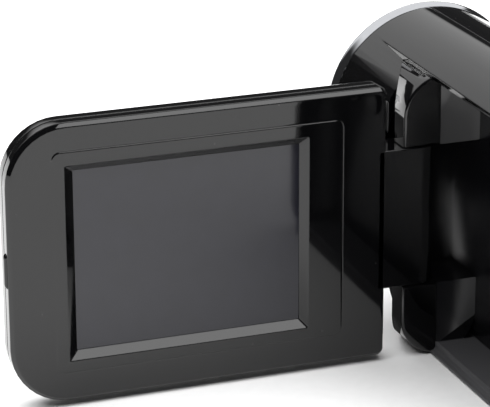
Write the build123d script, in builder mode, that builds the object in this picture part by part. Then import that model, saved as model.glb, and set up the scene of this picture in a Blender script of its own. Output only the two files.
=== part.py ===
from build123d import *
import os
from math import cos, radians, sin, sqrt

# A palm-size camcorder: a round lens barrel on a slim upright body, with a flip-out screen on its left.
#
# Frame: +Z up, the lens looks along -Y, the screen opens towards +X (the operator's left). Z = 0 is the
# flat base. The sizes below count X from the lens axis; each finished piece is then moved sideways so
# that the origin is the mouth of the tripod socket. Millimetres.

os.makedirs("parts", exist_ok=True)

# ---- driving dimensions --------------------------------------------------------------------------
lens_z = 37.2  # height of the lens axis
barrel_r = 19.05  # outer radius of the round top of the body
corner_r = 5.0  # lower right corner of the body, seen along the lens axis
side_x = 10.2  # plane of the side opening that the closed screen panel covers
pocket_x = 2.65  # back wall of the pocket behind the closed panel
wall = 1.8  # housing wall
rear_y = 58.5
lower_front_y = -38.0  # the body below the barrel starts here
ring_back_y = -42.3  # the bright ring starts here
ring_front_y = -49.3
plan_corner_r = 6.0  # rear right edge of the body, seen from above
rear_corner_r = 10.0  # corners of the body and of the panel's free end, seen from the side
seam_w = 0.3  # width and depth of the hairline grooves where mouldings meet
seam_d = 0.25

tower_y = -14.0  # rear face of the hinge tower, and face of the open panel
tower_x = 9.8  # middle of the tower's round ends
tower_r = 7.2
tower_top = 52.24
slot_low, slot_high = 13.6, 39.6  # the gap in the tower that takes the panel's knuckle
slot_depth = 11.0

panel_t = 6.8  # thickness of the screen panel
hinge_x, hinge_y = 13.8, tower_y - panel_t / 2  # axis of the panel's hinge, parallel to Z
panel_near, panel_far = 20.3, 88.9  # hinge edge and free edge of the open panel
panel_low, panel_high = 0.95, 51.35
panel_corner_r = 10.5
split_t = 3.0  # how much of the panel's thickness is the front frame
face_chamfer = 0.65  # round the panel's face
plateau_h = 0.12  # how far the raised field round the window stands proud
pin_r = 1.2
running = 0.05  # radial clearance of turning fits
slip = 0.12  # clearance round buttons and loose inserts


def across(y):
    """Sketch plane across the lens axis at depth y: sketch x is X, y is Z, extrusion runs forward."""
    return Plane.XZ.offset(-y)


def beside(x):
    """Sketch plane seen from the left side at x: sketch x is Y, sketch y is Z, extrusion runs to +X."""
    return Plane.YZ.offset(x)


def above(z):
    """Sketch plane seen from above at height z."""
    return Plane.XY.offset(z)


def finish(builder, name):
    """Writes a finished piece's STEP file, moved so that the origin is the mouth of the tripod socket."""
    placed = builder.part.moved(Location((-tripod_x, 0, 0)))
    placed.label = name
    export_step(placed, f"parts/{name}.step")


def span_box(x, y, z):
    """A box given by its (low, high) pairs. It is made outside any builder's own placement."""
    size = [high - low for low, high in (x, y, z)]
    middle = [(high + low) / 2 for low, high in (x, y, z)]
    return Pos(*middle) * Box(*size, mode=Mode.PRIVATE)


def widened(pair, gap):
    """A (low, high) pair moved apart by a gap at each end."""
    return (pair[0] - gap, pair[1] + gap)


def middle_of(pair):
    """Middle of a (low, high) pair."""
    return (pair[0] + pair[1]) / 2


# ---- outlines shared by the housing mouldings ----------------------------------------------------
def cross_outline(y, inset):
    """Section of the body across the lens axis: round top, upright right side, flat left side and base."""
    r = barrel_r - inset
    left = side_x - inset
    meet_z = lens_z - sqrt(r * r - left * left)
    corner = corner_r - inset
    bend = corner * (1 - cos(radians(45)))
    with BuildSketch(across(y)) as outline:
        with BuildLine():
            ThreePointArc((left, meet_z), (0, lens_z + r), (-r, lens_z))
            Line((-r, lens_z), (-r, inset + corner))
            ThreePointArc((-r, inset + corner), (-r + bend, inset + bend), (-r + corner, inset))
            Line((-r + corner, inset), (left, inset))
            Line((left, inset), (left, meet_z))
        make_face()
    return outline.sketch


def side_outline(inset):
    """Outline of the body from the side: rounded rear corners and a chin swept back under the barrel."""
    top = lens_z + barrel_r + 0.25 - inset
    rear = rear_y - inset
    low = inset
    r = rear_corner_r - inset
    bend = r * (1 - cos(radians(45)))
    chin_y, chin_z = lower_front_y + inset, lens_z - barrel_r - 3
    with BuildSketch(beside(-40)) as outline:
        with BuildLine():
            Line((ring_back_y, top), (rear - r, top))
            ThreePointArc((rear - r, top), (rear - bend, top - bend), (rear, top - r))
            Line((rear, top - r), (rear, low + r))
            ThreePointArc((rear, low + r), (rear - bend, low + bend), (rear - r, low))
            Line((rear - r, low), (chin_y + 10, low))
            ThreePointArc((chin_y + 10, low), (chin_y + 2.6, low + 4.2), (chin_y, chin_z))
            Line((chin_y, chin_z), (ring_back_y, chin_z))
            Line((ring_back_y, chin_z), (ring_back_y, top))
        make_face()
    return outline.sketch


def plan_outline(inset):
    """Outline of the body from above: the rear right edge is rounded, the rear left one only softened."""
    right, rear = -barrel_r + inset, rear_y - inset
    r = plan_corner_r - inset
    soft = 2.2 - inset
    bend, nip = r * (1 - cos(radians(45))), soft * (1 - cos(radians(45)))
    left = 30
    edge = side_x - inset
    with BuildSketch(above(-5)) as outline:
        with BuildLine():
            Line((right, -60), (right, rear - r))
            ThreePointArc((right, rear - r), (right + bend, rear - bend), (right + r, rear))
            Line((right + r, rear), (edge - soft, rear))
            ThreePointArc((edge - soft, rear), (edge - nip, rear - nip), (edge, rear - soft))
            Line((edge, rear - soft), (edge, tower_y))
            Line((edge, tower_y), (left, tower_y))
            Line((left, tower_y), (left, -60))
            Line((left, -60), (right, -60))
        make_face()
    return outline.sketch


def body_volume(inset):
    """The body's outer form, taken in by inset, with the barrel running forward to the ring."""
    front = lower_front_y + inset
    with BuildPart() as volume:
        extrude(cross_outline(rear_y, inset), amount=rear_y - front)
        with BuildSketch(across(front + 1)):
            with Locations((0, lens_z)):
                Circle(barrel_r - inset)
        extrude(amount=front + 1 - ring_back_y)
        extrude(side_outline(inset), amount=80, mode=Mode.INTERSECT)
        extrude(plan_outline(inset), amount=80, mode=Mode.INTERSECT)
    return volume.part


# ---- hinge tower: a capsule-ended post, rounded off towards the lens -----------------------------
def tower_volume():
    """The tower's outer form. Its rear face is flat, and its left side sweeps forward in to the chin."""
    left = tower_x + tower_r
    sweep_start, sweep_end = (left, tower_y - 4.5), (7.4, lower_front_y)
    with BuildPart() as tower:
        with BuildSketch(across(tower_y)):
            with Locations((tower_x, tower_top / 2)):
                SlotOverall(tower_top, 2 * tower_r, rotation=90)
        extrude(amount=tower_y - lower_front_y)
        with BuildSketch(above(-1)):
            with BuildLine():
                Line((left, tower_y), sweep_start)
                ThreePointArc(sweep_start, (left - 5.0, tower_y - 13.0), sweep_end)
                Line(sweep_end, (-1, lower_front_y))
                Line((-1, lower_front_y), (-1, tower_y))
                Line((-1, tower_y), (left, tower_y))
            make_face()
        extrude(amount=60, mode=Mode.INTERSECT)
        extrude(side_outline(0), amount=80, mode=Mode.INTERSECT)
    return tower.part


body_outer = body_volume(0)
body_inner = body_volume(wall)
tower_form = tower_volume()

# The hairline round the body where the two housing halves meet, and the one down the tower.
seam_ring = (body_outer - body_volume(seam_d)) & span_box((-seam_w / 2, seam_w / 2), (-60, 70), (-5, 70))
tower_seam_x = side_x
tray_x = pocket_x - 1.2  # outer back face of the pocket moulding
tray_front_y = tower_y - slot_depth - 1.2
tray_rear_y = 55.5
pocket_rear_y = 54.3
tray_top = 51.83
floor_z = 1.95

# Space kept free for the closed panel, from the tower's rear face to the back of the body.
panel_space = span_box((side_x, 40), (tower_y, 80), (-5, tray_top))
# The barrel is shaved flat beside the tower and swells to its full radius ahead of it.
with BuildPart() as barrel_shave:
    with BuildSketch(above(-5)):
        with BuildLine():
            Line((17.0, tower_y + 1), (17.0, tower_y - 7.5))
            ThreePointArc((17.0, tower_y - 7.5), (17.6, tower_y - 14.0), (20.2, tower_y - 21.0))
            Line((20.2, tower_y - 21.0), (40, tower_y - 21.0))
            Line((40, tower_y - 21.0), (40, tower_y + 1))
            Line((40, tower_y + 1), (17.0, tower_y + 1))
        make_face()
    extrude(amount=70)

# The round top reaches out over the closed panel, down to the panel's upper edge.
over_x = sqrt(barrel_r**2 - (tray_top - lens_z) ** 2)
over_back = side_x - 1
over_mid = (over_x + over_back) / 2
with BuildPart() as overhang:
    with BuildSketch(across(rear_y)):
        with BuildLine():
            over_top = (over_back, lens_z + sqrt(barrel_r**2 - over_back**2))
            over_bend = (over_mid, lens_z + sqrt(barrel_r**2 - over_mid**2))
            ThreePointArc(over_top, over_bend, (over_x, tray_top))
            Line((over_x, tray_top), (over_back, tray_top))
            Line((over_back, tray_top), over_top)
        make_face()
    extrude(amount=rear_y - tower_y)
    extrude(side_outline(0), amount=80, mode=Mode.INTERSECT)

slot_space = span_box((pocket_x, 40), (tower_y - slot_depth, tower_y + 1), (slot_low, slot_high))

# ---- places of the controls and sockets ----------------------------------------------------------
tripod_x = -4.6
tripod_r = 3.175  # quarter-inch thread
insert_r = 4.0
insert_h = 8.0
door_x, door_y = (-14.0, -7.6), (9.0, 47.2)  # opening of the battery door in the base
battery_x, battery_y, battery_z = (-13.95, -8.05), (10.4, 45.8), (2.6, 42.6)
card_x, card_y, card_z = (-13.0, -10.9), (-26.0, -2.0), (0.6, 32.6)
plate_x, plate_z, plate_w, plate_h, plate_r, plate_t = -6.0, 28.2, 19.0, 33.0, 4.0, 1.4
plate_rim = 1.5
record_z, record_r = 27.0, 5.2
zoom_z, zoom_w, zoom_h = 38.8, 14.0, 5.0
small_keys = {"mode_button": -10.6, "power_button": -1.4}
small_key_z, small_key_r = 16.6, 2.7
status_r = 0.9
photo_y, photo_r = 38.0, 3.9
photo_tilt = 20.0  # the top button leans to the right, square to the round top
port_y, port_z, port_w, port_h, port_t = 50.3, 24.0, 7.6, 18.0, 1.0
usb_z, jack_z = 28.4, 19.6
side_keys = {"menu_button": 24.0, "play_button": 34.0, "delete_button": 44.0}
side_key_z, side_key_r = 33.0, 2.8
screw_spots = [(-32.6, 12.0), (7.6, 8.0), (52.5, 9.5), (6.0, 36.0)]  # (Y, Z) on the right side
speaker_y, speaker_z, speaker_r = -6.0, 20.0, 6.5
board_x = (-3.0, -1.5)
strap_x, strap_z = 7.4, (15.0, 21.0)


photo_plane = Plane(
    (0, photo_y, lens_z),
    x_dir=(cos(radians(photo_tilt)), 0, sin(radians(photo_tilt))),
    z_dir=(-sin(radians(photo_tilt)), 0, cos(radians(photo_tilt))),
)


def plate_hole(name_w, name_h, corner, depth):
    """A rounded hole sunk into the rear face round the control plate."""
    with BuildPart() as hole:
        with BuildSketch(across(rear_y)):
            with Locations((plate_x, plate_z)):
                RectangleRounded(name_w, name_h, corner)
        extrude(amount=depth)
    return hole.part


def rod(plane, spots, radius, length):
    """Round rods standing on a plane at the given spots."""
    with BuildPart() as rods:
        with BuildSketch(plane):
            with Locations(*spots):
                Circle(radius)
        extrude(amount=length)
    return rods.part


plate_cut = plate_hole(plate_w, plate_h, plate_r, plate_t)
plate_cut += plate_hole(plate_w - 2 * plate_rim, plate_h - 2 * plate_rim, plate_r - plate_rim, wall + 1)
strap_spots = [(strap_x, z) for z in strap_z]
strap_bore = rod(across(rear_y + 1), strap_spots, 0.7, 3.4)

# Hinge line of the battery door runs along X just inside the base, that of the port door runs upright.
door_pin_r = 0.4
door_axis_y, door_axis_z = door_y[0] + 1.0, wall / 2
port_axis_y, port_axis_x = port_y - port_w / 2 + 0.62, -barrel_r + port_t / 2

# ---- right half of the housing -------------------------------------------------------------------
with BuildPart() as right_shell:
    add(body_outer)
    add(body_inner, mode=Mode.SUBTRACT)
    add(seam_ring, mode=Mode.SUBTRACT)
    split(bisect_by=Plane.YZ, keep=Keep.BOTTOM)
    # sleeves round the case screws, trimmed to the outside of the body
    add(rod(beside(-barrel_r), screw_spots, 2.5, 6.9))
    add(body_outer, mode=Mode.INTERSECT)
    add(rod(beside(-barrel_r - 1), screw_spots, 1.9, 4.2), mode=Mode.SUBTRACT)
    add(rod(beside(-barrel_r), screw_spots, 1.1, 8), mode=Mode.SUBTRACT)
    # openings in the base: battery door with its pin sockets, memory card and tripod insert
    add(span_box(door_x, door_y, (-1, wall + 0.1)), mode=Mode.SUBTRACT)
    with BuildSketch(beside(door_x[0] - 0.8)):
        with Locations((door_axis_y, door_axis_z)):
            Circle(door_pin_r + running)
    extrude(amount=door_x[1] - door_x[0] + 1.6, mode=Mode.SUBTRACT)
    add(span_box(widened(card_x, 0.3), widened(card_y, 0.3), (-1, wall + 1)), mode=Mode.SUBTRACT)
    add(rod(above(-1), [(tripod_x, 0)], insert_r, 6), mode=Mode.SUBTRACT)
    # control plate, top button, and the recess with the sockets behind the port door
    add(plate_cut, mode=Mode.SUBTRACT)
    add(rod(photo_plane.offset(14), [(0, 0)], photo_r + slip, 10), mode=Mode.SUBTRACT)
    with BuildSketch(beside(-barrel_r - 1)):
        with Locations((port_y, port_z)):
            Rectangle(port_w, port_h)
    extrude(amount=1 + port_t, mode=Mode.SUBTRACT)
    with BuildSketch(above(port_z - port_h / 2 - 0.7)):
        with Locations((port_axis_x, port_axis_y)):
            Circle(0.25 + running)
    extrude(amount=port_h + 1.4, mode=Mode.SUBTRACT)
    with BuildSketch(beside(-barrel_r)):
        with Locations((port_y + 0.4, usb_z)):
            RectangleRounded(3.2, 8.2, 0.8)
        with Locations((port_y + 0.4, jack_z)):
            Circle(2.7)
    extrude(amount=wall + 0.2, mode=Mode.SUBTRACT)
    # loudspeaker sound holes
    with BuildSketch(beside(-barrel_r - 1)):
        with Locations((speaker_y, speaker_z)):
            Circle(0.5)
            with PolarLocations(1.9, 6):
                Circle(0.5)
            with PolarLocations(3.7, 12):
                Circle(0.5)
    extrude(amount=wall + 1.5, mode=Mode.SUBTRACT)
finish(right_shell, "right_shell")

# ---- left half of the housing, cut away for the pocket moulding ----------------------------------
front_hollow = body_inner & span_box((-40, 40), (-60, tray_front_y), (-5, 70))
with BuildPart() as left_shell:
    add(body_outer)
    add(body_inner, mode=Mode.SUBTRACT)
    add(seam_ring, mode=Mode.SUBTRACT)
    split(bisect_by=Plane.YZ, keep=Keep.TOP)
    add(barrel_shave.part, mode=Mode.SUBTRACT)
    add(tower_form & span_box((-1, 40), (lower_front_y, tray_front_y), (-1, 60)))
    add(front_hollow, mode=Mode.SUBTRACT)
    add(span_box((tray_x, side_x), (tray_front_y, tray_rear_y), (-1, tray_top)), mode=Mode.SUBTRACT)
    add(panel_space, mode=Mode.SUBTRACT)
    add(overhang.part)
    add(span_box((side_x, 40), (tower_y - panel_t - 0.7, tower_y), (-1, tray_top)), mode=Mode.SUBTRACT)
    add(tower_form & span_box((side_x, 40), (tray_front_y, 0), (-1, 60)), mode=Mode.SUBTRACT)
    add(rod(beside(-11.9), screw_spots[:1], 2.4, 11.9 + side_x - 1))
    add(rod(beside(-12), screw_spots[:1], 0.85, 10), mode=Mode.SUBTRACT)
    add(plate_cut, mode=Mode.SUBTRACT)
    add(strap_bore, mode=Mode.SUBTRACT)
finish(left_shell, "left_shell")

# ---- pocket moulding: back wall, ledge, ceiling and the inner half of the hinge tower ------------
tower_inner = tower_form & span_box((tray_x, tower_seam_x), (tray_front_y, tower_y), (-1, tray_top))
with BuildPart() as pocket_tray:
    add(span_box((tray_x, side_x), (tower_y, tray_rear_y), (0, tray_top)))
    add(span_box((pocket_x, 40), (tower_y, pocket_rear_y), (floor_z, tray_top - 1.4)), mode=Mode.SUBTRACT)
    add(span_box((tray_x, pocket_x), (tray_front_y, tower_y), (0, tray_top)))
    add(tower_inner)
    # lip of the ledge, sloping down under the closed panel
    with BuildSketch(across(pocket_rear_y + 1.2)):
        with BuildLine():
            Polyline((side_x - 0.4, 0), (side_x - 0.4, floor_z), (side_x + 0.4, 0.75), (side_x + 0.9, 0.6))
            ThreePointArc((side_x + 0.9, 0.6), (side_x + 1.0, 0.25), (side_x + 0.7, 0))
            Line((side_x + 0.7, 0), (side_x - 0.4, 0))
        make_face()
    extrude(amount=pocket_rear_y + 1.2 - tower_y)
    with BuildSketch(across(pocket_rear_y + 1.2)):
        with BuildLine():
            Polyline((side_x - 0.4, floor_z), (side_x + 2, floor_z), (side_x + 2, 0.75), (side_x + 0.4, 0.75))
            Line((side_x + 0.4, 0.75), (side_x - 0.4, floor_z))
        make_face()
    extrude(amount=pocket_rear_y + 1.2 - tower_y, mode=Mode.SUBTRACT)
    add(slot_space, mode=Mode.SUBTRACT)
    side_outline_solid = extrude(side_outline(0), amount=80, mode=Mode.PRIVATE)
    add(side_outline_solid, mode=Mode.INTERSECT)
    # keys in the back wall
    side_key_spots = [(y, side_key_z) for y in side_keys.values()]
    add(rod(beside(tray_x - 1), side_key_spots, side_key_r + slip, 4), mode=Mode.SUBTRACT)
    # posts that the case screws bite into
    add(rod(beside(-11.9), screw_spots[1:], 2.4, 11.9 + tray_x))
    add(rod(beside(-12), screw_spots[1:], 0.85, 10), mode=Mode.SUBTRACT)
finish(pocket_tray, "pocket_tray")

# ---- outer half of the hinge tower ---------------------------------------------------------------
sleeve_r = 2.3
sleeve_h = 6.0
with BuildPart() as hinge_cover:
    add(tower_form & span_box((tower_seam_x, 40), (tray_front_y, 0), (-1, 60)))
    add(slot_space, mode=Mode.SUBTRACT)
    add(rod(above(slot_high), [(hinge_x, hinge_y)], sleeve_r, sleeve_h), mode=Mode.SUBTRACT)
    add(rod(above(slot_low - sleeve_h), [(hinge_x, hinge_y)], sleeve_r, sleeve_h), mode=Mode.SUBTRACT)
    # softened outer edges of the two rear faces
    rear_edges = hinge_cover.edges().filter_by_position(Axis.Y, tower_y - 0.01, tower_y + 0.01)
    fillet(rear_edges.filter_by_position(Axis.X, tower_seam_x + 0.2, 40), 0.45)
    # hairline where it meets the pocket moulding
    groove_x = (tower_seam_x - 1, tower_seam_x + seam_w)
    add(span_box(groove_x, (tower_y - seam_d, tower_y + 1), (0, 53)), mode=Mode.SUBTRACT)
finish(hinge_cover, "hinge_cover")

# ---- hinge metalwork: pins pressed into the knuckle, turning in friction sleeves in the tower ----
knuckle_gap = 0.15
pin_in = 5.0
for name, low in (("friction_sleeve_upper", slot_high), ("friction_sleeve_lower", slot_low - sleeve_h)):
    with BuildPart() as sleeve:
        add(rod(above(low), [(hinge_x, hinge_y)], sleeve_r, sleeve_h))
        add(rod(above(low), [(hinge_x, hinge_y)], pin_r + running, sleeve_h), mode=Mode.SUBTRACT)
    finish(sleeve, name)
pin_spans = {
    "hinge_pin_upper": (slot_high - knuckle_gap - pin_in, slot_high + sleeve_h - 0.4),
    "hinge_pin_lower": (slot_low - sleeve_h + 0.4, slot_low + knuckle_gap + pin_in),
}
for name, (low, high) in pin_spans.items():
    with BuildPart() as pin:
        add(rod(above(low), [(hinge_x, hinge_y)], pin_r, high - low))
    finish(pin, name)

# ---- screen panel: front frame with its knuckle, domed back cover --------------------------------
panel_back_y = tower_y - panel_t
window_x, window_z = (35.05, 78.7), (8.45, 43.7)
glass_x, glass_z = (36.3, 77.3), (9.84, 42.33)
glass_depth = 1.3
line_x, line_z = (28.7, 80.9), (6.4, 46.1)
panel_wall = 1.2


def panel_outline(inset):
    """Outline of the panel: nearly square at the hinge, large round corners at the free end."""
    near, far = panel_near + inset, panel_far - inset
    low, high = panel_low + inset, panel_high - inset
    r = panel_corner_r - inset
    small = 1.5 - min(inset, 1.3)
    bend, nip = r * (1 - cos(radians(45))), small * (1 - cos(radians(45)))
    with BuildSketch() as outline:
        with BuildLine():
            Line((near + small, low), (far - r, low))
            ThreePointArc((far - r, low), (far - bend, low + bend), (far, low + r))
            Line((far, low + r), (far, high - r))
            ThreePointArc((far, high - r), (far - bend, high - bend), (far - r, high))
            Line((far - r, high), (near + small, high))
            ThreePointArc((near + small, high), (near + nip, high - nip), (near, high - small))
            Line((near, high - small), (near, low + small))
            ThreePointArc((near, low + small), (near + nip, low + nip), (near + small, low))
        make_face()
    return outline.sketch


arm_z = (slot_low + knuckle_gap, slot_high - knuckle_gap)
arm_space = span_box((hinge_x, panel_near + 3), (panel_back_y, tower_y), arm_z)
with BuildPart() as screen_frame:
    extrude(across(tower_y) * panel_outline(0), amount=split_t)
    chamfer(screen_frame.faces().sort_by(Axis.Y)[-1].edges(), face_chamfer)
    # raised field round the window
    with BuildSketch(across(tower_y + plateau_h)):
        with Locations((middle_of(line_x), middle_of(line_z))):
            RectangleRounded(line_x[1] - line_x[0], line_z[1] - line_z[0], 1.5)
    extrude(amount=plateau_h + 1)
    chamfer(screen_frame.faces().sort_by(Axis.Y)[-1].edges(), plateau_h * 0.9)
    # hollow behind the face
    extrude(across(tower_y - 2.1) * panel_outline(panel_wall), amount=3, mode=Mode.SUBTRACT)
    # sloping window surround down to the glass
    with BuildSketch(across(tower_y + plateau_h)):
        with Locations((middle_of(window_x), middle_of(window_z))):
            Rectangle(window_x[1] - window_x[0], window_z[1] - window_z[0])
    with BuildSketch(across(tower_y - glass_depth)):
        with Locations((middle_of(glass_x), middle_of(glass_z))):
            Rectangle(glass_x[1] - glass_x[0], glass_z[1] - glass_z[0])
    loft(mode=Mode.SUBTRACT)
    add(span_box(glass_x, (tower_y - 3, tower_y), glass_z), mode=Mode.SUBTRACT)
    # seat of the glass, sunk from behind
    glass_seat = (tower_y - 3, tower_y - glass_depth)
    add(span_box(widened(glass_x, 1), glass_seat, widened(glass_z, 1)), mode=Mode.SUBTRACT)
    # finger lip on the free end
    add(span_box((panel_far - 1, panel_far + 0.5), (tower_y - 2.2, tower_y - 0.8), (21.4, 30.0)))
    # arm and knuckle at full panel thickness
    add(arm_space)
    add(rod(above(arm_z[0]), [(hinge_x, hinge_y)], panel_t / 2, arm_z[1] - arm_z[0]))
    add(rod(above(arm_z[0]), [(hinge_x, hinge_y)], pin_r, pin_in), mode=Mode.SUBTRACT)
    add(rod(above(arm_z[1] - pin_in), [(hinge_x, hinge_y)], pin_r, pin_in), mode=Mode.SUBTRACT)
finish(screen_frame, "screen_frame")

cover_t = panel_t - split_t
cover_draft = 6
with BuildPart() as screen_cover:
    extrude(across(tower_y - split_t) * panel_outline(0), amount=cover_t, taper=cover_draft)
    fillet(screen_cover.faces().sort_by(Axis.Y)[0].edges(), 1.8)
    cover_hollow = across(tower_y - split_t) * panel_outline(panel_wall)
    extrude(cover_hollow, amount=cover_t - panel_wall, taper=cover_draft + 10, mode=Mode.SUBTRACT)
    add(arm_space, mode=Mode.SUBTRACT)
finish(screen_cover, "screen_cover")

with BuildPart() as lcd_glass:
    add(span_box(widened(glass_x, 0.9), (tower_y - 2.1, tower_y - glass_depth), widened(glass_z, 0.9)))
finish(lcd_glass, "lcd_glass")

with BuildPart() as lcd_module:
    add(span_box((glass_x[0] - 1.6, glass_x[1] + 2.4), (tower_y - 4.3, tower_y - 2.1), widened(glass_z, 1.6)))
finish(lcd_module, "lcd_module")

with BuildPart() as lcd_board:
    add(span_box((glass_x[0], glass_x[1] - 4), (tower_y - 5.1, tower_y - 4.3), widened(glass_z, -2)))
finish(lcd_board, "lcd_board")

with BuildPart() as screen_flex:
    add(span_box((24.0, 33.8), (tower_y - 4.0, tower_y - 3.8), (20.0, 32.0)))
finish(screen_flex, "screen_flex")

with BuildPart() as lid_magnet:
    add(rod(across(tower_y - 2.3), [(83.0, 12.0)], 1.6, 1.6))
finish(lid_magnet, "lid_magnet")

# ---- lens end ------------------------------------------------------------------------------------
lens_axis = Axis((0, 0, lens_z), (0, 1, 0))


def turned(name, points):
    """A piece turned about the lens axis from (radius, Y) points."""
    with BuildPart() as piece:
        with BuildSketch(Plane.XY.offset(lens_z)):
            with BuildLine():
                Polyline(*points, close=True)
            make_face()
        revolve(axis=lens_axis)
    finish(piece, name)
    return piece


band = 0.55  # how far the ring stands out from the barrel
ring_bore_r = 15.8
ring_profile = [
    (ring_bore_r, ring_back_y), (barrel_r, ring_back_y), (barrel_r + band, ring_back_y - 1.9),
    (barrel_r + band - 0.2, ring_back_y - 2.6), (barrel_r - 0.2, ring_back_y - 4.0),
    (barrel_r - 1.0, ring_back_y - 5.6), (barrel_r - 1.9, ring_front_y + 0.3), (barrel_r - 2.4, ring_front_y),
    (ring_bore_r + 0.5, ring_front_y), (ring_bore_r, ring_front_y + 0.6),
]
turned("lens_ring", ring_profile)
window_r = 9.0
bezel_profile = [
    (ring_bore_r, ring_back_y + 0.4), (ring_bore_r, ring_front_y + 1.4), (window_r + 0.5, ring_front_y + 3.4),
    (window_r + 0.5, ring_front_y + 4.6), (8.0, ring_front_y + 4.6), (8.0, ring_back_y + 0.4),
]
with BuildPart() as front_bezel:
    with BuildSketch(Plane.XY.offset(lens_z)):
        with BuildLine():
            Polyline(*bezel_profile, close=True)
        make_face()
    revolve(axis=lens_axis)
    add(rod(across(-40), [(0, lens_z + 13.0)], 2.1, 12), mode=Mode.SUBTRACT)
    with BuildSketch(across(-40)):
        with Locations((0, lens_z - 13.0)):
            with GridLocations(1.6, 1.6, 3, 1):
                Circle(0.4)
    extrude(amount=12, mode=Mode.SUBTRACT)
finish(front_bezel, "front_bezel")
window_back, window_front = ring_front_y + 4.6, ring_front_y + 3.5
window_edge = window_r + 0.5
turned("lens_window", [
    (0, window_back), (window_edge, window_back), (window_edge, window_front), (0, window_front),
])
barrel_back = -30.6
turned("lens_barrel", [
    (7.9, ring_back_y + 0.5), (10.5, ring_back_y + 0.5), (10.5, barrel_back), (6.0, barrel_back),
    (6.0, barrel_back - 0.8), (7.9, barrel_back - 0.8),
])
turned("focus_group", [(0, -40.4), (4.5, -39.8), (7.8, -37.6), (7.8, -35.4), (5.0, -35.0), (0, -34.8)])
turned("rear_lens", [(0, -33.9), (4.0, -33.7), (6.9, -32.7), (6.9, -31.5), (3.4, -31.9), (0, -32.0)])
with BuildPart() as ir_filter:
    with BuildSketch(across(-29.6)):
        with Locations((0, lens_z)):
            RectangleRounded(9.0, 8.4, 0.4)
    extrude(amount=0.5)
finish(ir_filter, "ir_filter")
with BuildPart() as image_sensor:
    with BuildSketch(across(-28.4)):
        with Locations((0, lens_z)):
            RectangleRounded(10.4, 9.6, 0.4)
    extrude(amount=1.1)
finish(image_sensor, "image_sensor")
with BuildPart() as sensor_board:
    with BuildSketch(across(-27.2)):
        with Locations((0, lens_z)):
            RectangleRounded(17.0, 17.0, 1.0)
    extrude(amount=1.2)
finish(sensor_board, "sensor_board")
with BuildPart() as lamp:
    add(rod(across(-40.5), [(0, lens_z + 13.0)], 2.0, 6.4))
    fillet(lamp.faces().sort_by(Axis.Y)[0].edges(), 0.8)
finish(lamp, "lamp")
with BuildPart() as microphone:
    add(rod(across(-39.4), [(0, lens_z - 13.0)], 2.4, 2.4))
finish(microphone, "microphone")

# ---- boards, cell and loudspeaker inside ---------------------------------------------------------
with BuildPart() as main_board:
    add(span_box(board_x, (-14.0, 50.0), (11.0, 47.0)))
    add(rod(beside(-10), screw_spots[3:], 2.7, 20), mode=Mode.SUBTRACT)
finish(main_board, "main_board")
with BuildPart() as board_chips:
    chip_sizes = {(-4.0, 24.0): 12.0, (14.0, 24.0): 10.0, (30.0, 40.0): 7.0}
    for (chip_y, chip_z), chip_w in chip_sizes.items():
        add(span_box((board_x[0] - 1.2, board_x[0]), (chip_y, chip_y + chip_w), (chip_z - chip_w, chip_z)))
finish(board_chips, "board_chips")
with BuildPart() as side_key_board:
    add(span_box((-1.2, -0.2), (19.0, 49.0), (29.0, 37.0)))
finish(side_key_board, "side_key_board")
with BuildPart() as side_switches:
    for key_y in side_keys.values():
        add(span_box((-0.2, 0.45), (key_y - 1.5, key_y + 1.5), (side_key_z - 1.5, side_key_z + 1.5)))
finish(side_switches, "side_switches")
with BuildPart() as rear_key_board:
    add(span_box((-14.4, 1.2), (53.4, 54.6), (13.0, 43.0)))
finish(rear_key_board, "rear_key_board")
with BuildPart() as rear_switches:
    switch_spots = [(plate_x, record_z), (plate_x - 5, zoom_z), (plate_x + 5, zoom_z)]
    switch_spots += [(x, small_key_z) for x in small_keys.values()]
    for switch_x, switch_z in switch_spots:
        add(span_box((switch_x - 1.5, switch_x + 1.5), (54.6, 55.3), (switch_z - 1.5, switch_z + 1.5)))
finish(rear_switches, "rear_switches")
with BuildPart() as photo_switch:
    with BuildSketch(photo_plane.offset(12.4)):
        Rectangle(3.6, 3.6)
    extrude(amount=1.4)
finish(photo_switch, "photo_switch")
with BuildPart() as photo_board:
    with BuildSketch(photo_plane.offset(11.4)):
        Rectangle(9.0, 10.0)
    extrude(amount=1.0)
finish(photo_board, "photo_board")
with BuildPart() as battery:
    add(span_box(battery_x, battery_y, battery_z))
    fillet(battery.edges().filter_by(Axis.Z), 1.6)
finish(battery, "battery")
with BuildPart() as battery_contacts:
    for blade_y in (13.5, 17.5, 21.5):
        add(span_box((battery_x[0] + 2.2, battery_x[1] - 2.2), (blade_y, blade_y + 1.4), (42.6, 44.6)))
    add(span_box((battery_x[0] + 1.2, battery_x[1] - 0.6), (12.5, 24.0), (44.6, 45.8)))
finish(battery_contacts, "battery_contacts")
with BuildPart() as speaker:
    add(rod(beside(-barrel_r + wall), [(speaker_y, speaker_z)], speaker_r, 3.0))
    chamfer(speaker.faces().sort_by(Axis.X)[-1].edges(), 0.8)
finish(speaker, "speaker")
with BuildPart() as card_socket:
    add(span_box((card_x[0] - 1.0, card_x[1] + 1.2), (card_y[0] - 1.4, card_y[1] + 1.4), (4.6, 33.6)))
    add(span_box(widened(card_x, 0.1), widened(card_y, 0.1), (3, 32.8)), mode=Mode.SUBTRACT)
finish(card_socket, "card_socket")
with BuildPart() as memory_card:
    with BuildSketch(beside(card_x[0])):
        with BuildLine():
            Polyline(
                (card_y[0], card_z[0]), (card_y[1], card_z[0]), (card_y[1], card_z[1]),
                (card_y[0] + 3.5, card_z[1]), (card_y[0], card_z[1] - 3.5), close=True,
            )
        make_face()
    extrude(amount=card_x[1] - card_x[0])
finish(memory_card, "memory_card")
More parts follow.
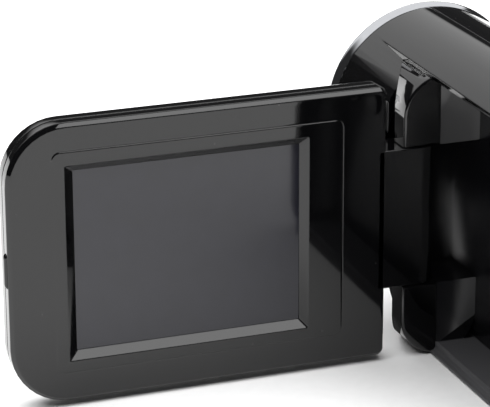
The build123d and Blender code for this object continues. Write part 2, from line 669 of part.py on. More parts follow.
with BuildPart() as usb_port:
    with BuildSketch(beside(-barrel_r + port_t + 0.1)):
        with Locations((port_y + 0.4, usb_z)):
            RectangleRounded(3.0, 7.8, 0.7)
            RectangleRounded(2.2, 7.0, 0.4, mode=Mode.SUBTRACT)
    extrude(amount=5.0)
    with BuildSketch(beside(-barrel_r + port_t + 4.1)):
        with Locations((port_y + 0.4, usb_z)):
            RectangleRounded(3.0, 7.8, 0.7)
    extrude(amount=1.0)
    with BuildSketch(beside(-barrel_r + port_t + 0.6)):
        with Locations((port_y + 0.2, usb_z)):
            Rectangle(0.7, 5.2)
    extrude(amount=4.0)
finish(usb_port, "usb_port")
with BuildPart() as av_jack:
    add(rod(beside(-barrel_r + port_t + 0.1), [(port_y + 0.4, jack_z)], 2.6, 8.0))
    add(rod(beside(-barrel_r + port_t), [(port_y + 0.4, jack_z)], 1.3, 7.0), mode=Mode.SUBTRACT)
finish(av_jack, "av_jack")

# ---- base, screws and strap bar ------------------------------------------------------------------
with BuildPart() as tripod_insert:
    add(rod(above(0), [(tripod_x, 0)], insert_r, wall))
    add(rod(above(wall), [(tripod_x, 0)], insert_r + 1.0, insert_h - wall))
    add(rod(above(0), [(tripod_x, 0)], tripod_r, insert_h - 1.5), mode=Mode.SUBTRACT)
finish(tripod_insert, "tripod_insert")
with BuildPart() as case_screws:
    add(rod(beside(-barrel_r + 1.7), screw_spots, 1.75, 1.5))
    add(rod(beside(-barrel_r + 1.0), screw_spots, 0.55, 1.5), mode=Mode.SUBTRACT)
    add(rod(beside(-barrel_r + 3.2), screw_spots, 0.85, 9.0))
finish(case_screws, "case_screws")
with BuildPart() as strap_bar:
    strap_out = 2.6
    with BuildLine(Plane.YZ.offset(strap_x)):
        Polyline(
            (rear_y - 2.4, strap_z[0]), (rear_y + strap_out, strap_z[0]),
            (rear_y + strap_out, strap_z[1]), (rear_y - 2.4, strap_z[1]),
        )
        fillet(vertices().group_by(Axis.Y)[-1], 1.2)
    with BuildSketch(Plane((strap_x, rear_y - 2.4, strap_z[0]), z_dir=(0, 1, 0))):
        Circle(0.7)
    sweep()
finish(strap_bar, "strap_bar")

# ---- doors ---------------------------------------------------------------------------------------
with BuildPart() as battery_door:
    gap = 0.12
    add(span_box((door_x[0] + gap, door_x[1] - gap), (door_axis_y, door_y[1] - gap), (0, wall)))
    add(rod(beside(door_x[0] + gap), [(door_axis_y, door_axis_z)], wall / 2, door_x[1] - door_x[0] - 2 * gap))
    add(rod(beside(door_x[0] - 0.7), [(door_axis_y, door_axis_z)], door_pin_r, door_x[1] - door_x[0] + 1.4))
    # grip ridges
    ridge_x = widened(door_x, -1.6)
    for ridge in range(4):
        ridge_y = door_y[1] - 4.0 - ridge * 1.6
        add(span_box(ridge_x, (ridge_y, ridge_y + 0.7), (0, 0.35)), mode=Mode.SUBTRACT)
finish(battery_door, "battery_door")
with BuildPart() as port_door:
    gap = 0.12
    port_low, port_high = port_z - port_h / 2 + gap, port_z + port_h / 2 - gap
    port_span = (port_axis_y, port_y + port_w / 2 - gap)
    add(span_box((-barrel_r, -barrel_r + port_t), port_span, (port_low, port_high)))
    add(rod(above(port_low), [(port_axis_x, port_axis_y)], port_t / 2, port_high - port_low))
    add(rod(above(port_low - 0.7), [(port_axis_x, port_axis_y)], 0.25, port_high - port_low + 1.4))
finish(port_door, "port_door")

# ---- control plate and keys ----------------------------------------------------------------------
with BuildPart() as control_plate:
    with BuildSketch(across(rear_y)):
        with Locations((plate_x, plate_z)):
            RectangleRounded(plate_w - 0.16, plate_h - 0.16, plate_r)
        with Locations((plate_x, record_z)):
            Circle(record_r + slip, mode=Mode.SUBTRACT)
        with Locations((plate_x, zoom_z)):
            RectangleRounded(zoom_w + 0.6, zoom_h + 0.4, 2.4, mode=Mode.SUBTRACT)
        with Locations(*[(x, small_key_z) for x in small_keys.values()]):
            Circle(small_key_r + slip, mode=Mode.SUBTRACT)
        with Locations((plate_x, small_key_z)):
            Circle(status_r, mode=Mode.SUBTRACT)
    extrude(amount=plate_t)
finish(control_plate, "control_plate")


def rear_key(name, x, z, r, proud):
    """A round push key in the control plate, held in by a flange behind it."""
    with BuildPart() as key:
        add(rod(across(rear_y + proud), [(x, z)], r, proud + 2.5))
        fillet(key.faces().sort_by(Axis.Y)[-1].edges(), 0.4)
        add(rod(across(rear_y - plate_t - 0.2), [(x, z)], r + 0.5, 0.9))
    finish(key, name)
    return key


rear_key("record_button", plate_x, record_z, record_r, 1.0)
for name, key_x in small_keys.items():
    rear_key(name, key_x, small_key_z, small_key_r, 0.7)
with BuildPart() as zoom_rocker:
    with BuildSketch(across(rear_y + 1.4)):
        with Locations((plate_x, zoom_z)):
            RectangleRounded(zoom_w, zoom_h, 2.2)
    extrude(amount=3.9)
    fillet(zoom_rocker.faces().sort_by(Axis.Y)[-1].edges(), 0.5)
    add(rod(above(zoom_z - zoom_h / 2 - 0.8), [(plate_x, rear_y - 2.0)], 0.5, zoom_h + 1.6))
    # finger dip in the middle
    with BuildSketch(above(zoom_z - 4)):
        with Locations((plate_x, rear_y + 6.6)):
            Circle(6.2)
    extrude(amount=8, mode=Mode.SUBTRACT)
finish(zoom_rocker, "zoom_rocker")
with BuildPart() as status_lens:
    add(rod(across(rear_y + 0.2), [(plate_x, small_key_z)], status_r, 3.2))
finish(status_lens, "status_lens")
with BuildPart() as photo_button:
    add(rod(photo_plane.offset(16.2), [(0, 0)], photo_r, 3.7))
    up_the_button = Axis((0, photo_y, lens_z), tuple(photo_plane.z_dir))
    fillet(photo_button.faces().sort_by(up_the_button)[-1].edges(), 0.6)
    add(rod(photo_plane.offset(14.3), [(0, 0)], 1.8, 1.9))
finish(photo_button, "photo_button")
for name, key_y in side_keys.items():
    with BuildPart() as key:
        add(rod(beside(0.8), [(key_y, side_key_z)], side_key_r + 0.5, 0.55))
        add(rod(beside(0.8), [(key_y, side_key_z)], side_key_r, 2.6))
        fillet(key.faces().sort_by(Axis.X)[-1].edges(), 0.4)
    finish(key, name)
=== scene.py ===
import bpy
import bmesh
from math import radians, sin, cos, pi
from mathutils import Matrix, Vector


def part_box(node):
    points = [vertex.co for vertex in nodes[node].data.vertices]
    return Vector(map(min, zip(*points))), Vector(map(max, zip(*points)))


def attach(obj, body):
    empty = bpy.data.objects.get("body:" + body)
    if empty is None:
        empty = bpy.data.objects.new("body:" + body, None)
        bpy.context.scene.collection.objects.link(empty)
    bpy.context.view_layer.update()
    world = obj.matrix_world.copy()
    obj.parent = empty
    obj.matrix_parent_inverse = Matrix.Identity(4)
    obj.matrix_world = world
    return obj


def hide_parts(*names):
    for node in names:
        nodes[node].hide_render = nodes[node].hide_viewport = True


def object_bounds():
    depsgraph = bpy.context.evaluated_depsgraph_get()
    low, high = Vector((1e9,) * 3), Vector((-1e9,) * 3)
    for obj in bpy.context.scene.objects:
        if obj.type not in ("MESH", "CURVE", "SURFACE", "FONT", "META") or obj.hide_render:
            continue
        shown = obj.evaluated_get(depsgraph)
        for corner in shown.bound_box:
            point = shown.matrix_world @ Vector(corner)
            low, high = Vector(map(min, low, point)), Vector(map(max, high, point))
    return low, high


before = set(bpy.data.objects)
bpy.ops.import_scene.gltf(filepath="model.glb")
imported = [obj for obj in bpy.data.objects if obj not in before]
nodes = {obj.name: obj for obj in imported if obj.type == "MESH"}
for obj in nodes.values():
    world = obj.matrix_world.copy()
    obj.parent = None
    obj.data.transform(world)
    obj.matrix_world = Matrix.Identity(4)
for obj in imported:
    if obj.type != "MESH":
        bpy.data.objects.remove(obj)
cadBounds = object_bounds()
mm = 0.001
print("frame loaded:", len(nodes), "nodes")


# materials: helpers for a colour, a node, a two-colour pattern and a new material
def fromHex(code):
    values = [int(code[i:i + 2], 16) / 255 for i in (1, 3, 5)]
    return tuple(v / 12.92 if v <= 0.04045 else ((v + 0.055) / 1.055) ** 2.4 for v in values) + (1.0,)


def addNode(tree, kind, settings=None, **links):
    node = tree.nodes.new(kind)
    for key, value in (settings or {}).items():
        if key in node.inputs:
            node.inputs[key].default_value = value
        else:
            setattr(node, key, value)
    for key, source in links.items():
        tree.links.new(source, node.inputs[key.replace("_", " ")])
    return node


def twoTone(tree, pattern, first, second):
    # a colour that runs from first to second with the pattern
    mix = addNode(tree, "ShaderNodeMix", {"data_type": "RGBA"})
    tree.links.new(pattern, mix.inputs["Factor"])
    mix.inputs[6].default_value = fromHex(first)
    mix.inputs[7].default_value = fromHex(second)
    return mix.outputs[2]


def newMaterial(name, shader):
    material = bpy.data.materials.new(name)
    material.use_nodes = True
    tree = material.node_tree
    tree.nodes.clear()
    output = tree.nodes.new("ShaderNodeOutputMaterial")
    principled = addNode(tree, "ShaderNodeBsdfPrincipled", shader)
    tree.links.new(principled.outputs["BSDF"], output.inputs["Surface"])
    coords = tree.nodes.new("ShaderNodeTexCoord")
    return material, tree, principled, coords.outputs["Object"]


glossPlastic = {
    "ripple": 420.0,        # waves per metre: sink and flow marks about 2.4 mm apart
    "rippleDepth": 0.004,
    "rippleStrength": 0.05,
    "edge": 0.2,            # soft radius along every moulded edge
    "smear": 55.0,          # handling marks about 18 mm across
    "dustSpacing": 260.0,   # specks about 4 mm apart
    "dustSize": 0.035,
    "dustColour": "#5c5a58",
    "roughness": 0.045,
}


def mouldedGloss(name, colour, roughness=glossPlastic["roughness"], dust=True):
    # moulded gloss ABS, IOR 1.5: near-black body under a hard mirror-like skin, with the odd speck of dust
    material, tree, shader, place = newMaterial(name, {"IOR": 1.5, "Base Color": fromHex(colour)})
    flow = addNode(tree, "ShaderNodeTexNoise", {"Scale": glossPlastic["ripple"], "Detail": 1.0}, Vector=place)
    rounding = addNode(tree, "ShaderNodeBevel", {"samples": 6, "Radius": glossPlastic["edge"] * mm})
    bump = addNode(tree, "ShaderNodeBump", {"Strength": glossPlastic["rippleStrength"],
                                            "Distance": glossPlastic["rippleDepth"] * mm},
                   Height=flow.outputs["Fac"], Normal=rounding.outputs["Normal"])
    tree.links.new(bump.outputs["Normal"], shader.inputs["Normal"])
    smear = addNode(tree, "ShaderNodeTexNoise", {"Scale": glossPlastic["smear"], "Detail": 4.0},
                    Vector=place)
    rough = addNode(tree, "ShaderNodeMapRange", {"From Min": 0.35, "From Max": 0.75,
                                                 "To Min": roughness * 0.8, "To Max": roughness * 1.5},
                    Value=smear.outputs["Fac"])
    tree.links.new(rough.outputs["Result"], shader.inputs["Roughness"])
    if dust:
        cells = addNode(tree, "ShaderNodeTexVoronoi", {"Scale": glossPlastic["dustSpacing"],
                                                       "Randomness": 1.0}, Vector=place)
        speck = addNode(tree, "ShaderNodeMapRange", {"From Min": glossPlastic["dustSize"], "From Max": 0.0},
                        Value=cells.outputs["Distance"])
        tint = twoTone(tree, speck.outputs["Result"], colour, glossPlastic["dustColour"])
        tree.links.new(tint, shader.inputs["Base Color"])
    return material


def grained(name, colour, second, scale, roughness, metallic=0.0, bumpMm=0.02, ior=1.5):
    # a fine two-tone surface: scale is grains per metre
    settings = {"Metallic": metallic}
    if metallic < 0.5:
        settings["IOR"] = ior
    material, tree, shader, place = newMaterial(name, settings)
    grain = addNode(tree, "ShaderNodeTexNoise", {"Scale": scale, "Detail": 5.0, "Roughness": 0.6},
                    Vector=place)
    tree.links.new(twoTone(tree, grain.outputs["Fac"], colour, second), shader.inputs["Base Color"])
    rough = addNode(tree, "ShaderNodeMapRange", {"To Min": roughness * 0.75, "To Max": roughness * 1.25},
                    Value=grain.outputs["Fac"])
    tree.links.new(rough.outputs["Result"], shader.inputs["Roughness"])
    bump = addNode(tree, "ShaderNodeBump", {"Strength": 0.3, "Distance": bumpMm * mm},
                   Height=grain.outputs["Fac"])
    tree.links.new(bump.outputs["Normal"], shader.inputs["Normal"])
    return material


finishes = {
    "glossBlack": mouldedGloss("moulded gloss black ABS", "#070708"),
    "keyBlack": mouldedGloss("moulded satin ABS keys", "#17171a", 0.22, dust=False),
    # bright chromium plating: a clean mirror with a faint blue cast
    "chrome": grained("chromium plating", "#c6c8cc", "#d2d3d7", 900.0, 0.06, 1.0, 0.0004),
    "matteBlack": grained("moulded matt ABS", "#0e0e0f", "#161617", 2600.0, 0.55),
    "board": grained("solder mask on glass epoxy", "#0d3a1d", "#155028", 1400.0, 0.4),
    "chips": grained("moulded epoxy", "#101011", "#1b1b1c", 3000.0, 0.6),
    "steel": grained("ground steel", "#a9acb0", "#c6c8cb", 1800.0, 0.25, 1.0, 0.004),
    "nickel": grained("nickel plating", "#b7b4ab", "#cbc8c0", 1500.0, 0.22, 1.0, 0.003),
    "brass": grained("turned brass", "#b8923f", "#d2ae5c", 1500.0, 0.25, 1.0, 0.003),
    "gold": grained("gold plating", "#d3a53b", "#e6c064", 1200.0, 0.2, 1.0, 0.002),
    "film": grained("printed polyester film", "#1a2740", "#22345a", 700.0, 0.35),
    "card": grained("moulded card case", "#10192c", "#18243c", 1800.0, 0.4),
    "polyimide": grained("polyimide flex", "#8a4d12", "#a8641c", 900.0, 0.3),
}


def lensGlass(name, tint, coat):
    # coated optical glass: dark and clear, with a coloured sheen from the coating
    material, tree, shader, place = newMaterial(name, {
        "IOR": 1.52, "Roughness": 0.02, "Transmission Weight": 0.9, "Coat Weight": 0.6, "Coat IOR": 1.7,
        "Coat Tint": fromHex(coat), "Coat Roughness": 0.03})
    haze = addNode(tree, "ShaderNodeTexNoise", {"Scale": 300.0, "Detail": 2.0}, Vector=place)
    tree.links.new(twoTone(tree, haze.outputs["Fac"], tint, "#cfdbe2"), shader.inputs["Base Color"])
    return material


def screenGlass():
    # clear acrylic over a switched-off display: an even dark blue-grey, a little lighter than the frame
    material, tree, shader, place = newMaterial("acrylic window over a dark display", {
        "IOR": 1.49, "Roughness": 0.05})
    cells = addNode(tree, "ShaderNodeTexNoise", {"Scale": 240.0, "Detail": 2.0}, Vector=place)
    tree.links.new(twoTone(tree, cells.outputs["Fac"], "#1c1c22", "#202028"), shader.inputs["Base Color"])
    return material


finishes["lens"] = lensGlass("coated optical glass", "#aebfcc", "#7f9be0")
finishes["clear"] = lensGlass("moulded clear acrylic", "#dfe6ea", "#ffffff")
finishes["filter"] = lensGlass("infrared filter glass", "#86c5b4", "#b070c0")
finishes["screen"] = screenGlass()


pocket = {
    "ledgeTop": (2.15, 2.0),    # the painted light and the rougher finish begin under this height, in mm
    "colour": "#0e0e10",
    # painted light: a lighter grey for the ledge, standing in for the light that falls on it
    "ledgePaintedLight": "#48484a",
    "roughness": (0.24, 0.5),   # walls, then ledge
    "grain": 3200.0,
}


def pocketPlastic():
    # ABS, less polished than the outside; the ledge is rougher and also painted lighter, painted light
    # standing in for the light that reaches it
    material, tree, shader, place = newMaterial("moulded gloss ABS, rough ledge with painted light", {"IOR": 1.5})
    heights = addNode(tree, "ShaderNodeSeparateXYZ", None, Vector=place)
    ledge = addNode(tree, "ShaderNodeMapRange", {"From Min": pocket["ledgeTop"][0] * mm,
                                                 "From Max": pocket["ledgeTop"][1] * mm},
                    Value=heights.outputs["Z"])
    # painted light: the ledge is coloured lighter than the walls below ledgeTop
    tint = twoTone(tree, ledge.outputs["Result"], pocket["colour"], pocket["ledgePaintedLight"])
    tree.links.new(tint, shader.inputs["Base Color"])
    rough = addNode(tree, "ShaderNodeMapRange", {"To Min": pocket["roughness"][0],
                                                 "To Max": pocket["roughness"][1]},
                    Value=ledge.outputs["Result"])
    tree.links.new(rough.outputs["Result"], shader.inputs["Roughness"])
    grain = addNode(tree, "ShaderNodeTexNoise", {"Scale": pocket["grain"], "Detail": 3.0}, Vector=place)
    bump = addNode(tree, "ShaderNodeBump", {"Strength": 0.15, "Distance": 0.01 * mm},
                   Height=grain.outputs["Fac"])
    tree.links.new(bump.outputs["Normal"], shader.inputs["Normal"])
    return material


finishes["trayBlack"] = pocketPlastic()

# which finish each carried-over CAD node takes
nodeFinish = {
    "glossBlack": "right_shell left_shell hinge_cover screen_frame screen_cover battery_door port_door",
    "trayBlack": "pocket_tray",
    "keyBlack": "control_plate record_button mode_button power_button zoom_rocker photo_button menu_button "
                "play_button delete_button",
    "chrome": "lens_ring",
    "matteBlack": "front_bezel lens_barrel speaker av_jack",
    "board": "lcd_board sensor_board main_board side_key_board rear_key_board photo_board",
    "chips": "board_chips",
    "steel": "friction_sleeve_upper friction_sleeve_lower hinge_pin_upper hinge_pin_lower",
    "nickel": "lcd_module lid_magnet microphone side_switches rear_switches photo_switch card_socket "
              "usb_port case_screws strap_bar",
    "brass": "tripod_insert",
    "gold": "battery_contacts",
    "film": "battery",
    "card": "memory_card",
    "polyimide": "screen_flex",
    "lens": "lens_window focus_group rear_lens",
    "clear": "lamp status_lens",
    "filter": "ir_filter image_sensor",
    "screen": "lcd_glass",
}
for finish, names in nodeFinish.items():
    for name in names.split():
        nodes[name].data.materials.clear()
        nodes[name].data.materials.append(finishes[finish])
print("materials given to the carried-over nodes")


# making and finishing pieces
def finishPiece(name, bm, material, body, replaced=(), smoothAngle=32.0, weld=0.00001,
                weighting="FACE_AREA"):
    bmesh.ops.remove_doubles(bm, verts=bm.verts, dist=weld)
    bmesh.ops.recalc_face_normals(bm, faces=bm.faces)
    mesh = bpy.data.meshes.new(name)
    bm.to_mesh(mesh)
    bm.free()
    mesh.polygons.foreach_set("use_smooth", [True] * len(mesh.polygons))
    mesh.set_sharp_from_angle(angle=radians(smoothAngle))
    mesh.materials.append(finishes[material])
    piece = bpy.data.objects.new(name, mesh)
    bpy.context.scene.collection.objects.link(piece)
    weighted = piece.modifiers.new("flat faces stay flat", "WEIGHTED_NORMAL")
    weighted.mode = weighting
    weighted.keep_sharp = True
    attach(piece, body)
    if replaced:
        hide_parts(*replaced)
    return piece


copied = {"weld": 0.000005, "smoothAngle": 30.0, "flatWithin": 0.4}


def smoothed(name, node, material, body, joinFlats):
    # a merged copy of a CAD node, shaded smooth except at its real edges
    bm = bmesh.new()
    bm.from_mesh(nodes[node].data)
    bmesh.ops.remove_doubles(bm, verts=bm.verts, dist=copied["weld"])
    if joinFlats:
        bmesh.ops.dissolve_limit(bm, angle_limit=radians(copied["flatWithin"]), verts=bm.verts,
                                 edges=bm.edges)
    return finishPiece(name, bm, material, body, (node,), copied["smoothAngle"], copied["weld"],
                       "FACE_AREA_WITH_ANGLE")


for piece, node, material, joinFlats in (
        ("rightShell", "right_shell", "glossBlack", True),
        ("leftShell", "left_shell", "glossBlack", False),
        ("pocketTray", "pocket_tray", "trayBlack", False),
        ("hingeCover", "hinge_cover", "glossBlack", False),
        ("controlPlate", "control_plate", "keyBlack", False)):
    smoothed(piece, node, material, "camera", joinFlats)
print("housing smoothed")


# rounded-rectangle sections: one ring of edges, drawn out from section to section
def cornerPoint(tag, x, z, y, radii):
    # radii run near-low, far-low, far-high, near-high
    corner, turn = tag
    r = max(radii[corner], 0.03)
    middleX = x[0] + r if corner in (0, 3) else x[1] - r
    middleZ = z[0] + r if corner in (0, 1) else z[1] - r
    return Vector((middleX + r * cos(turn), y, middleZ + r * sin(turn))) * mm


def stacked(bm, sections, closeFirst=False, closeLast=False, steps=10):
    made = bmesh.ops.create_circle(bm, segments=4 * (steps + 1), radius=1.0)
    spots = {}
    for index, vert in enumerate(made["verts"]):
        corner, step = divmod(index, steps + 1)
        spots[vert] = (corner, pi * (1 + (corner + step / steps) / 2))
        vert.co = cornerPoint(spots[vert], *sections[0])
    loop = [edge for edge in bm.edges if edge.verts[0] in spots and edge.verts[1] in spots]
    if closeFirst:
        bmesh.ops.contextual_create(bm, geom=loop)
    for section in sections[1:]:
        made = bmesh.ops.extrude_edge_only(bm, edges=loop)
        fresh = {}
        for vert in made["geom"]:
            if isinstance(vert, bmesh.types.BMVert):
                before = [edge.other_vert(vert) for edge in vert.link_edges
                          if edge.other_vert(vert) in spots]
                fresh[vert] = spots[before[0]]
                vert.co = cornerPoint(fresh[vert], *section)
        spots = fresh
        loop = [edge for edge in made["geom"] if isinstance(edge, bmesh.types.BMEdge)
                and edge.verts[0] in fresh and edge.verts[1] in fresh]
    if closeLast:
        bmesh.ops.contextual_create(bm, geom=loop)


# screen panel: chamfered front frame with a raised field and window surround, and a rounded back cover
panelLow, panelHigh = [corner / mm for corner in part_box("screen_cover")]
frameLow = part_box("screen_frame")[0] / mm
glassLow, glassHigh = [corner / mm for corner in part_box("lcd_glass")]
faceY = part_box("hinge_cover")[1].y / mm
panel = {
    "x": (panelLow.x, panelHigh.x),
    "z": (panelLow.z, panelHigh.z - 0.25),
    "farCorner": 10.5,
    "nearCorner": 1.3,
    "lineX": (8.4, 60.6),   # edge of the raised field round the window, from the hinge edge
    "lineZ": (5.45, 45.15),
    "surroundX": (14.75, 58.4),
    "surroundZ": (7.5, 42.75),
    # (inset, depth behind the face) from the back rim round to the face, with the parting groove
    "frameSection": ((1.9, 3.0), (0.26, 3.0), (0.22, 2.92), (0.12, 2.84), (0.09, 2.7), (0.0, 0.84),
                     (0.02, 0.7), (0.1, 0.58), (0.58, 0.1), (0.66, 0.03), (0.8, 0.0), (1.6, 0.0)),
    "coverSection": ((1.9, 3.02), (0.28, 3.02), (0.24, 3.08), (0.14, 3.16), (0.12, 3.3), (0.24, 5.3),
                     (0.32, 5.7), (0.55, 6.12), (0.9, 6.46), (1.4, 6.7), (2.0, 6.79), (2.7, 6.8)),
    # (distance outside the field's edge, depth)
    "lineSection": ((0.34, 0.0), (0.2, 0.035), (0.1, 0.04), (-0.02, -0.085), (-0.1, -0.115), (-0.2, -0.12)),
    "lineCorner": 1.4,
    # the bevelled step down to the display, then the seat that its window rests in
    "surroundSection": ((0.14, -0.12), (0.05, -0.1), (-0.03, -0.03)),
    "surroundCorner": 0.3,
    "seatMargin": (0.9, 1.2, 0.9),    # kept over the window at its hinge side, free side, top and bottom
    "seatSection": ((0.07, 1.14), (0.0, 1.2), (0.0, 1.3)),
    "seatCorner": 0.15,
    "seatUndercut": 1.2,
    "rimInset": 1.9,
}


def panelSection(inset, depth):
    x, z = panel["x"], panel["z"]
    far = panel["farCorner"] - inset
    near = max(panel["nearCorner"] - inset * 0.7, 0.25)
    return ((x[0] + inset * 0.6, x[1] - inset), (z[0] + inset, z[1] - inset), faceY - depth,
            (near, far, far, near))


def faceSection(x, z, grow, depth, radius):
    return ((panel["x"][0] + x[0] - grow, panel["x"][0] + x[1] + grow),
            (panel["z"][0] + z[0] - grow, panel["z"][0] + z[1] + grow), faceY - depth, (radius,) * 4)


bm = bmesh.new()
nearMargin, farMargin, heightMargin = panel["seatMargin"]
seatX = (glassLow.x + nearMargin - panel["x"][0], glassHigh.x - farMargin - panel["x"][0])
seatZ = (glassLow.z + heightMargin - panel["z"][0], glassHigh.z - heightMargin - panel["z"][0])
undercut, rimInset = panel["seatUndercut"], panel["rimInset"]
sections = [panelSection(*step) for step in panel["frameSection"]]
for x, z, corner, steps in (
        (panel["lineX"], panel["lineZ"], panel["lineCorner"], panel["lineSection"]),
        (panel["surroundX"], panel["surroundZ"], panel["surroundCorner"], panel["surroundSection"]),
        (seatX, seatZ, panel["seatCorner"], panel["seatSection"])):
    sections += [faceSection(x, z, grow, depth, corner + grow) for grow, depth in steps]
sections += [faceSection(seatX, seatZ, undercut, 1.3, 0.3), faceSection(seatX, seatZ, undercut, 2.0, 0.3),
             panelSection(rimInset, 2.0), panelSection(rimInset, 3.0)]
stacked(bm, sections)
finishPiece("screenFrame", bm, "glossBlack", "screen", ("screen_frame",), 40.0)

bm = bmesh.new()
stacked(bm, [panelSection(*step) for step in panel["coverSection"]], closeFirst=True, closeLast=True)
finishPiece("screenBack", bm, "glossBlack", "screen", ("screen_cover",), 40.0)

# the arm and knuckle between panel and tower: one slab with a round hinge end
knuckle = {"axisX": frameLow.x + 3.4, "radius": 3.4, "reach": 1.3, "z": (13.75, 39.45), "edge": 0.25}
bm = bmesh.new()
bmesh.ops.create_grid(bm, x_segments=1, y_segments=1, size=0.5)
armX = (knuckle["axisX"] - knuckle["radius"], panel["x"][0] + knuckle["reach"])
armSize = Matrix.Diagonal(((armX[1] - armX[0]) * mm, 2 * knuckle["radius"] * mm, 1, 1))
armY = faceY - knuckle["radius"]
armSpot = Matrix.Translation((sum(armX) / 2 * mm, armY * mm, knuckle["z"][0] * mm))
bmesh.ops.transform(bm, matrix=armSpot @ armSize, verts=bm.verts)
hingeEnd = [v for v in bm.verts if v.co.x < knuckle["axisX"] * mm]
for vert in hingeEnd:
    bmesh.ops.bevel(bm, geom=[vert], offset=(knuckle["radius"] - 0.005) * mm, offset_type="OFFSET",
                    segments=16, profile=0.5, affect="VERTICES", clamp_overlap=False, material=-1)
made = bmesh.ops.extrude_face_region(bm, geom=list(bm.faces))
lifted = [v for v in made["geom"] if isinstance(v, bmesh.types.BMVert)]
bmesh.ops.translate(bm, verts=lifted, vec=(0, 0, (knuckle["z"][1] - knuckle["z"][0]) * mm))
rims = [e for e in bm.edges if abs(e.verts[0].co.z - e.verts[1].co.z) < 0.00001]
bmesh.ops.bevel(bm, geom=rims, offset=knuckle["edge"] * mm, offset_type="OFFSET", segments=3, profile=0.5,
                affect="EDGES", clamp_overlap=True, material=-1)
finishPiece("screenArm", bm, "glossBlack", "screen")

# finger lip on the free edge, tapering to nothing at its ends
lip = {"z": (21.4, 30.0), "proud": 0.45, "depth": (0.9, 2.3), "width": 1.6, "taper": 0.62, "edge": 0.4}
bm = bmesh.new()
bmesh.ops.create_cube(bm, size=1.0)
lipSize = Matrix.Diagonal((lip["width"] * mm, (lip["depth"][1] - lip["depth"][0]) * mm,
                           (lip["z"][1] - lip["z"][0]) * mm, 1))
middleZ = sum(lip["z"]) / 2 * mm
lipSpot = Matrix.Translation(((panel["x"][1] + lip["proud"] - lip["width"] / 2) * mm,
                              (faceY - sum(lip["depth"]) / 2) * mm, middleZ))
bmesh.ops.transform(bm, matrix=lipSpot @ lipSize, verts=bm.verts)
for vert in bm.verts:
    if vert.co.x > panel["x"][1] * mm:
        vert.co.z = middleZ + (vert.co.z - middleZ) * lip["taper"]
outer = [e for e in bm.edges if max(v.co.x for v in e.verts) > panel["x"][1] * mm]
bmesh.ops.bevel(bm, geom=outer, offset=lip["edge"] * mm, offset_type="OFFSET", segments=4, profile=0.5,
                affect="EDGES", clamp_overlap=True, material=-1)
finishPiece("fingerLip", bm, "glossBlack", "screen")

# display window: a thin acrylic sheet with softened edges
window = {"corner": 0.6, "edge": 0.1}
bm = bmesh.new()
windowSteps = ((window["edge"], glassLow.y), (0.0, glassLow.y + window["edge"]),
               (0.0, glassHigh.y - window["edge"]), (window["edge"], glassHigh.y))
stacked(bm, [((glassLow.x + inset, glassHigh.x - inset), (glassLow.z + inset, glassHigh.z - inset), y,
              (window["corner"],) * 4) for inset, y in windowSteps],
        closeFirst=True, closeLast=True, steps=4)
finishPiece("screenWindow", bm, "screen", "screen", ("lcd_glass",))
print("screen panel built")

# lens ring, turned about the lens axis and plated
ringLow, ringHigh = [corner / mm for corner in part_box("lens_ring")]
ring = {
    "axis": ((ringLow.x + ringHigh.x) / 2, (ringLow.z + ringHigh.z) / 2),
    "back": ringHigh.y,
    # radius and distance ahead of the barrel's end
    "profile": ((15.85, 0.0), (19.0, 0.0), (19.1, 0.06), (19.16, 0.25), (19.2, 0.5), (19.34, 1.0),
                (19.48, 1.5), (19.58, 1.9), (19.56, 2.2), (19.4, 2.6), (19.1, 3.3), (18.75, 4.1),
                (18.35, 4.9), (17.9, 5.7), (17.4, 6.4), (16.9, 6.85), (16.5, 7.0), (16.1, 6.85),
                (15.85, 6.5)),
}
bm = bmesh.new()
verts = [bm.verts.new(((ring["axis"][0] + r) * mm, (ring["back"] - y) * mm, ring["axis"][1] * mm))
         for r, y in ring["profile"]]
edges = [bm.edges.new(pair) for pair in zip(verts, verts[1:] + verts[:1])]
bmesh.ops.spin(bm, geom=verts + edges, cent=(ring["axis"][0] * mm, 0, ring["axis"][1] * mm),
               axis=(0, 1, 0), angle=2 * pi, steps=120, use_merge=True, use_duplicate=False)
finishPiece("lensRing", bm, "chrome", "camera", ("lens_ring",), 40.0)
print("lens ring built")

# camera: behind the object, above it and to its left, with a long lens
cameraSpot = {
    "place": (197.6, 389.4, 185.4),
    "aim": (51.3, -14.0, 33.1),
    "roll": -0.23,          # degrees
    "lens": 194.6,
    "sensor": 36.0,
}
cameraData = bpy.data.cameras.new("camera")
cameraData.lens = cameraSpot["lens"]
cameraData.sensor_width = cameraSpot["sensor"]
cameraData.clip_start = 0.01
camera = bpy.data.objects.new("camera", cameraData)
bpy.context.scene.collection.objects.link(camera)
place = Vector(cameraSpot["place"]) * mm
aim = Vector(cameraSpot["aim"]) * mm
turn = (aim - place).to_track_quat("-Z", "Y").to_matrix().to_4x4()
camera.matrix_world = Matrix.Translation(place) @ turn @ Matrix.Rotation(radians(cameraSpot["roll"]), 4, "Z")
bpy.context.scene.camera = camera

# floor: plain pale paper, a little under the base
paper = {"halfSize": 1.6, "gap": 0.0002, "fibre": 500.0, "colours": ("#f4f4f4", "#fbfbfb")}
bm = bmesh.new()
bmesh.ops.create_grid(bm, x_segments=2, y_segments=2, size=paper["halfSize"])
bmesh.ops.translate(bm, verts=bm.verts, vec=(0, 0, cadBounds[0][2] - paper["gap"]))
floorMesh = bpy.data.meshes.new("floor")
bm.to_mesh(floorMesh)
bm.free()
floorMaterial, floorTree, floorShader, floorPlace = newMaterial("pale paper floor", {"Roughness": 0.8})
fibre = addNode(floorTree, "ShaderNodeTexNoise", {"Scale": paper["fibre"], "Detail": 4.0}, Vector=floorPlace)
floorTree.links.new(twoTone(floorTree, fibre.outputs["Fac"], *paper["colours"]),
                    floorShader.inputs["Base Color"])
floorMesh.materials.append(floorMaterial)
floor = bpy.data.objects.new("floor", floorMesh)
bpy.context.scene.collection.objects.link(floor)

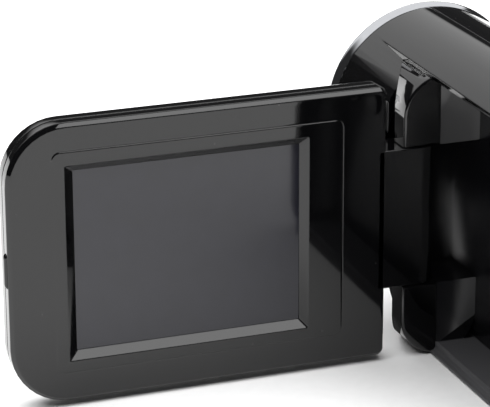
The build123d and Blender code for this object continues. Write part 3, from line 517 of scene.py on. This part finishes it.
# studio: a bright wall ahead, dark sides, a large soft light above and behind, and a white backdrop
studio = {
    "wall": 1.06,               # brightness of the wall ahead of the lens, paper white being 1
    "dim": 0.035,               # the rest of the room
    # where the wall begins and is full, along each axis of a direction of length 1
    "wallUp": (0.25, 0.33),
    "wallAhead": (-0.05, -0.35),
    "wallLeft": (0.68, 0.48),
    "keySpot": (-0.30, 0.34, 0.90),
    "keySize": (0.50, 0.50),
    "key": 4.0,
    "fillSpot": (0.0, 0.0, 1.6),
    "fillSize": (3.0, 3.0),
    "fill": 3.0,
}
world = bpy.data.worlds.new("studio")
bpy.context.scene.world = world
world.use_nodes = True
skyTree = world.node_tree
skyTree.nodes.clear()
skyPlace = skyTree.nodes.new("ShaderNodeTexCoord")
heading = addNode(skyTree, "ShaderNodeSeparateXYZ", None, Vector=skyPlace.outputs["Generated"])


def fade(axis, start, end):
    # 0 before start, 1 past end, along one direction
    eased = addNode(skyTree, "ShaderNodeMapRange", {"interpolation_type": "SMOOTHSTEP", "From Min": start,
                                                    "From Max": end}, Value=heading.outputs[axis])
    return eased.outputs["Result"]


def times(first, second):
    node = addNode(skyTree, "ShaderNodeMath", {"operation": "MULTIPLY"})
    skyTree.links.new(first, node.inputs[0])
    skyTree.links.new(second, node.inputs[1])
    return node.outputs[0]


wallMask = times(times(fade("Z", *studio["wallUp"]), fade("Y", *studio["wallAhead"])),
                 fade("X", *studio["wallLeft"]))
wallGlow = addNode(skyTree, "ShaderNodeMapRange", {"To Min": studio["dim"], "To Max": studio["wall"]},
                   Value=wallMask)
room = addNode(skyTree, "ShaderNodeBackground", None, Strength=wallGlow.outputs["Result"])
backdrop = addNode(skyTree, "ShaderNodeBackground", {"Strength": 1.0, "Color": fromHex("#ffffff")})
room.inputs["Color"].default_value = fromHex("#ffffff")
seen = skyTree.nodes.new("ShaderNodeLightPath")
either = skyTree.nodes.new("ShaderNodeMixShader")
skyTree.links.new(seen.outputs["Is Camera Ray"], either.inputs[0])
skyTree.links.new(room.outputs[0], either.inputs[1])
skyTree.links.new(backdrop.outputs[0], either.inputs[2])
skyOut = skyTree.nodes.new("ShaderNodeOutputWorld")
skyTree.links.new(either.outputs[0], skyOut.inputs["Surface"])


def softbox(name, where, towards, size, radiance, mirrored=True):
    # the light's power follows from how bright its face should look
    data = bpy.data.lights.new(name, "AREA")
    data.shape = "RECTANGLE"
    data.size, data.size_y = size
    data.energy = radiance * pi * size[0] * size[1]
    light = bpy.data.objects.new(name, data)
    bpy.context.scene.collection.objects.link(light)
    spot = Vector(where)
    facing = (Vector(towards) - spot).to_track_quat("-Z", "Y").to_matrix().to_4x4()
    light.matrix_world = Matrix.Translation(spot) @ facing
    light.visible_glossy = mirrored
    light.visible_camera = False


softbox("key softbox", studio["keySpot"], (0.03, 0.0, 0.03), studio["keySize"], studio["key"])
softbox("floor fill", studio["fillSpot"], (0.0, 0.0, 0.0), studio["fillSize"], studio["fill"], mirrored=False)

# painted shadow: a dark card lying ahead of the lens, seen only in reflections, stands in for the object's
# shadow on the floor and keeps the hinge side dark
card = {"x": (-6.0, 80.0), "y": (-190.0, -24.0), "gap": 0.1}
bm = bmesh.new()
bmesh.ops.create_grid(bm, x_segments=1, y_segments=1, size=0.5)
cardSize = Matrix.Diagonal(((card["x"][1] - card["x"][0]) * mm, (card["y"][1] - card["y"][0]) * mm, 1, 1))
cardSpot = Matrix.Translation((sum(card["x"]) / 2 * mm, sum(card["y"]) / 2 * mm,
                               cadBounds[0][2] - card["gap"] * mm))
bmesh.ops.transform(bm, matrix=cardSpot @ cardSize, verts=bm.verts)
cardMesh = bpy.data.meshes.new("painted floor shadow card")
bm.to_mesh(cardMesh)
bm.free()
cardMesh.materials.append(finishes["matteBlack"])
paintedShadowCard = bpy.data.objects.new("painted floor shadow card", cardMesh)
bpy.context.scene.collection.objects.link(paintedShadowCard)
paintedShadowCard.visible_camera = False
paintedShadowCard.visible_diffuse = False
paintedShadowCard.visible_shadow = False
bpy.context.scene.view_settings.view_transform = "Standard"
